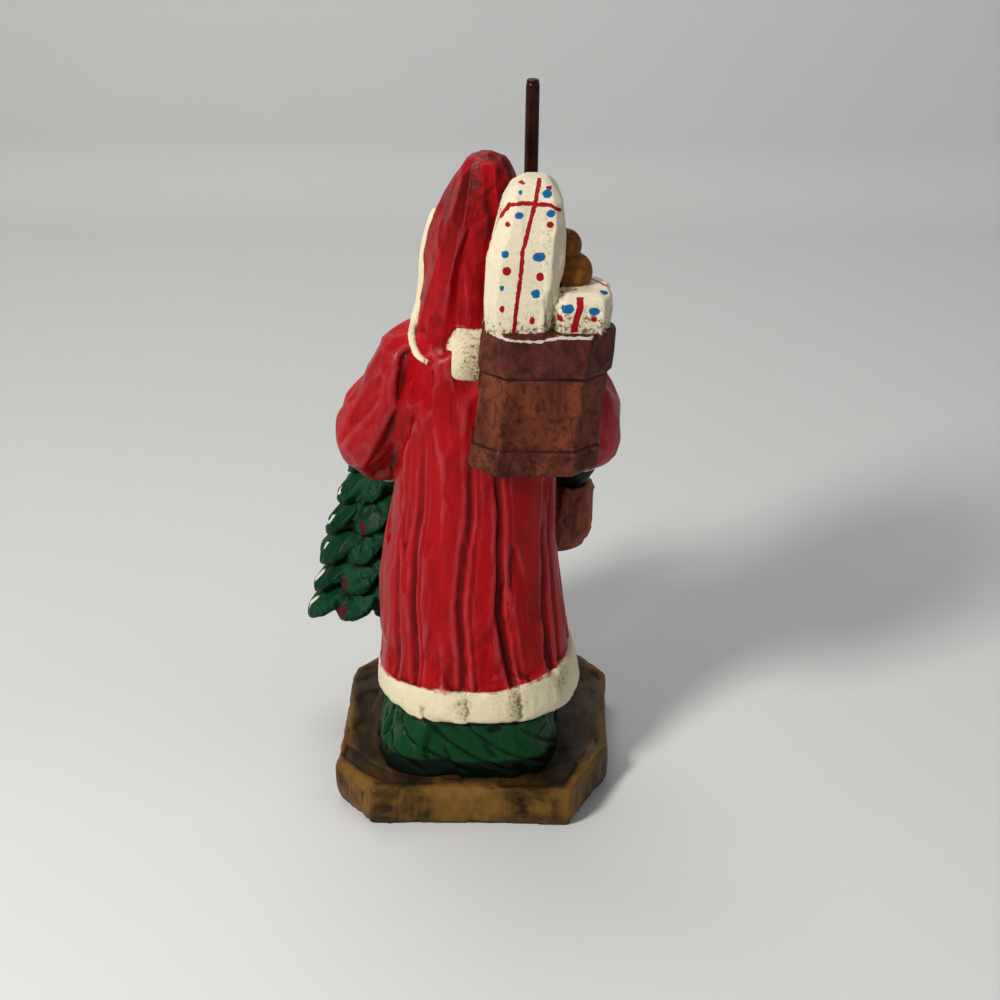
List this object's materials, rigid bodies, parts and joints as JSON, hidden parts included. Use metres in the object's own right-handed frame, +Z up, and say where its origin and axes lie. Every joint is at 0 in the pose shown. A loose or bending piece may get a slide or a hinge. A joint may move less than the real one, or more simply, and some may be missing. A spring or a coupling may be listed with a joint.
{
  "type": "carved santa figurine",
  "caption": "Hand-carved and painted wooden Santa figurine in a hooded coat, with a pack of presents, fir tree, sack and staff, standing on a cut-corner base.",
  "frame": {"origin": "middle of the base's underside", "axes": "+Z up, -Y the way he faces, +X his left"},
  "size_m": [0.1539, 0.1453, 0.3328],
  "materials": {
    "stained_base_wood": "gouged, dark brown stain under satin varnish",
    "painted_figure": "gloss red paint with cream fur edges and a green robe, antiqued with brown",
    "painted_pack": "red-brown stain, with presents in cream paint and an ochre bear, antiqued",
    "painted_tree": "dark green gloss paint with dark red and white marks",
    "painted_sack": "red-brown paint, satin",
    "staff_wood": "dark brown gloss varnish"
  },
  "bodies": {
    "root": {"base": "stained_base_wood", "santa_figure": "painted_figure", "pack_of_presents": "painted_pack", "fir_tree": "painted_tree", "sack": "painted_sack", "staff": "staff_wood"}
  },
  "joints": []
}
